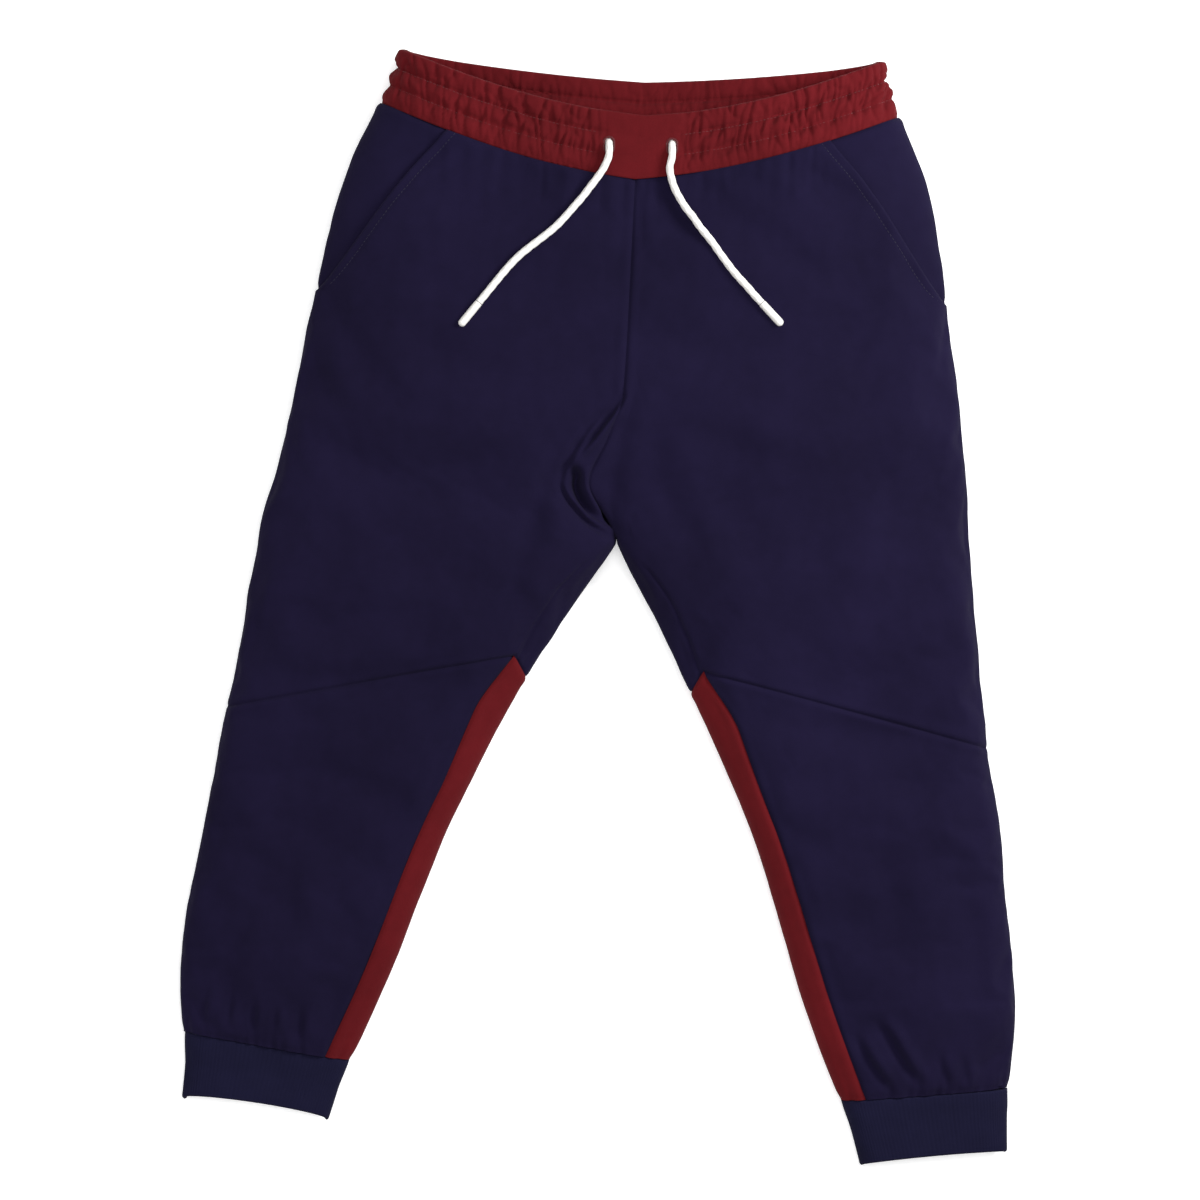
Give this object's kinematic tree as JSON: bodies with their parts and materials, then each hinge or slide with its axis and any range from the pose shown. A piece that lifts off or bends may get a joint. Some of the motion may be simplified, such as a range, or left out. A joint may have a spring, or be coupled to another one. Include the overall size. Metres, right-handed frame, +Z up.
{
  "type": "jogger sweatpants",
  "caption": "Two-colour jogger sweatpants laid flat, with a gathered elastic waistband, drawcord, slant pockets, slanted knee seams, inseam panels and rib cuffs.",
  "frame": {"origin": "on the surface the trousers lie on, under the middle of their outline", "axes": "+Z up, out of the trousers' front; +Y from the cuffs to the waist; +X to the wearer's left. Left and right in names are the wearer's."},
  "size_m": [0.7384, 0.9859, 0.0652],
  "materials": {
    "navy_knit": "matt brushed knit",
    "maroon_knit": "matt brushed knit",
    "navy_rib": "matt rib knit",
    "pocket_lining": "matt plain knit",
    "cotton_cord": "matt braid",
    "elastic": "matt woven elastic",
    "stitching": "satin thread"
  },
  "bodies": {
    "hips": {"waistband_front": "maroon_knit", "waistband_back": "maroon_knit", "upper_elastic": "elastic", "lower_elastic": "elastic", "waist_seam": "navy_knit", "drawcord_tunnel_run": "cotton_cord", "right_buttonhole": "stitching", "left_buttonhole": "stitching", "centre_front_seam": "navy_knit", "centre_back_seam": "navy_knit", "right_front_panel": "navy_knit", "right_back_panel": "navy_knit", "right_pocket_facing": "navy_knit", "right_side_seam": "navy_knit", "right_inseam": "navy_knit", "right_knee_seam": "navy_knit", "right_pocket_bag": "pocket_lining", "left_front_panel": "navy_knit", "left_back_panel": "navy_knit", "left_pocket_facing": "navy_knit", "left_side_seam": "navy_knit", "left_inseam": "navy_knit", "left_knee_seam": "navy_knit", "left_pocket_bag": "pocket_lining"},
    "right_lower_leg": {"right_front_shin_panel": "navy_knit", "right_back_shin_panel": "navy_knit", "right_inseam_panel": "maroon_knit", "right_lower_side_seam": "navy_knit", "right_cuff_seam": "navy_knit", "right_cuff": "navy_rib"},
    "left_lower_leg": {"left_front_shin_panel": "navy_knit", "left_back_shin_panel": "navy_knit", "left_inseam_panel": "maroon_knit", "left_lower_side_seam": "navy_knit", "left_cuff_seam": "navy_knit", "left_cuff": "navy_rib"},
    "drawcord_right": {"drawcord_right_end": "cotton_cord", "drawcord_right_tip": "cotton_cord"},
    "drawcord_left": {"drawcord_left_end": "cotton_cord", "drawcord_left_tip": "cotton_cord"}
  },
  "joints": [
    {"name": "right_knee_fold", "type": "hinge", "parent": "hips", "child": "right_lower_leg", "pos_m": [-0.2024, -0.0663, 0.0425], "axis": [-0.985, -0.1725, 0], "range_deg": [0, 150]},
    {"name": "left_knee_fold", "type": "hinge", "parent": "hips", "child": "left_lower_leg", "pos_m": [0.2169, -0.0914, 0.0425], "axis": [-0.9653, 0.2611, 0], "range_deg": [0, 150]},
    {"name": "right_drawcord_pull", "type": "slide", "parent": "hips", "child": "drawcord_right", "axis": [-0.6603, -0.7504, 0.03], "range_m": [0, 0.05]},
    {"name": "left_drawcord_pull", "type": "slide", "parent": "hips", "child": "drawcord_left", "axis": [0.5438, -0.8387, 0.03], "range_m": [0, 0.05]}
  ]
}
